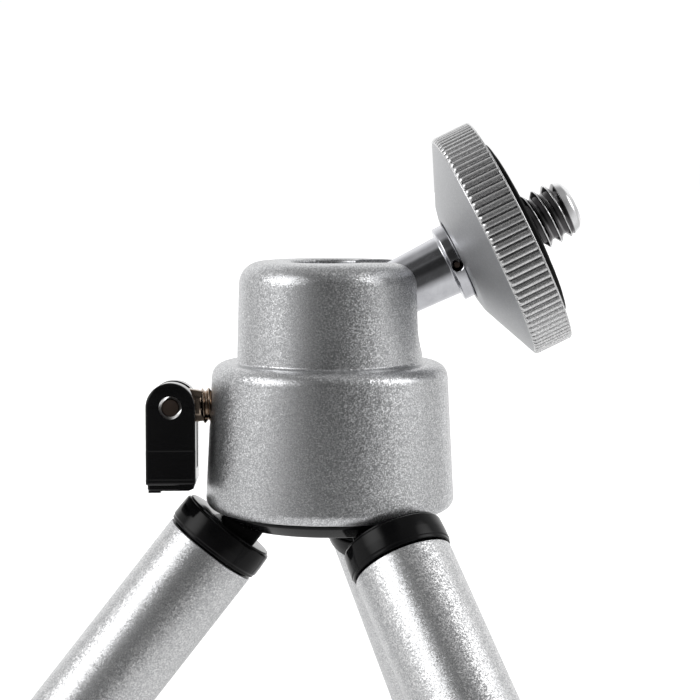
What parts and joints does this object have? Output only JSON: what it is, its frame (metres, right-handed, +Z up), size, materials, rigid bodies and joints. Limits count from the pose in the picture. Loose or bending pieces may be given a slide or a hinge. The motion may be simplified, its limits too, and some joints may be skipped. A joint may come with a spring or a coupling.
{
  "type": "mini tabletop tripod",
  "caption": "Mini tabletop tripod: ball head with tilting stem, knurled camera platform and folding clamp lever, on folding telescopic legs.",
  "frame": {"origin": "on the floor, below the middle of the object's outline seen from above, legs open and telescopes in", "axes": "+Z up along the head's axis, +X toward the side the stem leans to, the clamp lever at -X"},
  "size_m": [0.1068, 0.1168, 0.1122],
  "materials": {
    "silver_paint": "satin metallic paint with fine flake",
    "silver_paint_tube": "satin metallic paint with fine flake",
    "polished_tube": "polished",
    "chrome_plate": "polished",
    "dark_chrome": "polished, darker",
    "bright_steel": "plated",
    "dark_steel": "blackened",
    "brass_tinted_steel": "polished, yellowed plating",
    "black_plastic": "gloss",
    "black_rubber": "matt, fine grain",
    "nylon": "natural"
  },
  "bodies": {
    "head": {"head_housing": "silver_paint", "pressure_cup": "nylon", "leg_hub": "black_plastic", "hub_screw_1": "bright_steel", "hub_screw_2": "bright_steel", "hub_screw_3": "bright_steel", "left_leg_hinge_pin": "bright_steel", "front_leg_hinge_pin": "bright_steel", "rear_leg_hinge_pin": "bright_steel"},
    "ball": {"ball_stem": "chrome_plate", "stem_set_pin": "dark_steel", "thrust_washer": "nylon"},
    "platform": {"platform_disk": "silver_paint", "platform_pad": "black_rubber", "camera_screw": "dark_chrome"},
    "clamp": {"clamp_screw": "brass_tinted_steel"},
    "lever": {"clamp_lever": "black_plastic", "lever_pin": "brass_tinted_steel"},
    "left_leg": {"left_leg_knuckle": "black_plastic", "left_leg_outer_tube": "silver_paint_tube"},
    "left_leg_mid": {"left_leg_mid_bush": "nylon", "left_leg_mid_tube": "polished_tube"},
    "left_leg_inner": {"left_leg_inner_bush": "nylon", "left_leg_inner_tube": "polished_tube", "left_leg_foot": "black_rubber"},
    "front_leg": {"front_leg_knuckle": "black_plastic", "front_leg_outer_tube": "silver_paint_tube"},
    "front_leg_mid": {"front_leg_mid_bush": "nylon", "front_leg_mid_tube": "polished_tube"},
    "front_leg_inner": {"front_leg_inner_bush": "nylon", "front_leg_inner_tube": "polished_tube", "front_leg_foot": "black_rubber"},
    "rear_leg": {"rear_leg_knuckle": "black_plastic", "rear_leg_outer_tube": "silver_paint_tube"},
    "rear_leg_mid": {"rear_leg_mid_bush": "nylon", "rear_leg_mid_tube": "polished_tube"},
    "rear_leg_inner": {"rear_leg_inner_bush": "nylon", "rear_leg_inner_tube": "polished_tube", "rear_leg_foot": "black_rubber"}
  },
  "joints": [
    {"name": "ball_tilt", "type": "hinge", "parent": "head", "child": "ball", "pos_m": [0.01319, -0.00256, 0.0911], "axis": [0, -1, 0], "range_deg": [-25.97, 72]},
    {"name": "platform_spin", "type": "hinge", "parent": "ball", "child": "platform", "pos_m": [0.01319, -0.00256, 0.0911], "axis": [0.899, 0, 0.4379], "continuous": true},
    {"name": "clamp_turn", "type": "hinge", "parent": "head", "child": "clamp", "pos_m": [0.01319, -0.00256, 0.08226], "axis": [-1, 0, 0], "range_deg": [0, 360]},
    {"name": "lever_fold", "type": "hinge", "parent": "clamp", "child": "lever", "pos_m": [-0.00361, -0.00256, 0.08226], "axis": [0, 0.9976, -0.0698], "range_deg": [0, 180]},
    {"name": "left_leg_fold", "type": "hinge", "parent": "head", "child": "left_leg", "pos_m": [0.00534, -0.00321, 0.0732], "axis": [0.083, -0.9966, 0], "range_deg": [0, 38.34]},
    {"name": "left_mid_slide", "type": "slide", "parent": "left_leg", "child": "left_leg_mid", "axis": [-0.6182, -0.0515, -0.7843], "range_m": [0, 0.055]},
    {"name": "left_inner_slide", "type": "slide", "parent": "left_leg_mid", "child": "left_leg_inner", "axis": [-0.6182, -0.0515, -0.7843], "range_m": [0, 0.055]},
    {"name": "front_leg_fold", "type": "hinge", "parent": "head", "child": "front_leg", "pos_m": [0.01768, -0.00903, 0.0732], "axis": [0.8215, 0.5701, 0], "range_deg": [0, 38.34]},
    {"name": "front_mid_slide", "type": "slide", "parent": "front_leg", "child": "front_leg_mid", "axis": [0.3537, -0.5096, -0.7843], "range_m": [0, 0.055]},
    {"name": "front_inner_slide", "type": "slide", "parent": "front_leg_mid", "child": "front_leg_inner", "axis": [0.3537, -0.5096, -0.7843], "range_m": [0, 0.055]},
    {"name": "rear_leg_fold", "type": "hinge", "parent": "head", "child": "rear_leg", "pos_m": [0.01655, 0.00457, 0.0732], "axis": [-0.9045, 0.4264, 0], "range_deg": [0, 38.34]},
    {"name": "rear_mid_slide", "type": "slide", "parent": "rear_leg", "child": "rear_leg_mid", "axis": [0.2645, 0.5611, -0.7843], "range_m": [0, 0.055]},
    {"name": "rear_inner_slide", "type": "slide", "parent": "rear_leg_mid", "child": "rear_leg_inner", "axis": [0.2645, 0.5611, -0.7843], "range_m": [0, 0.055]}
  ]
}
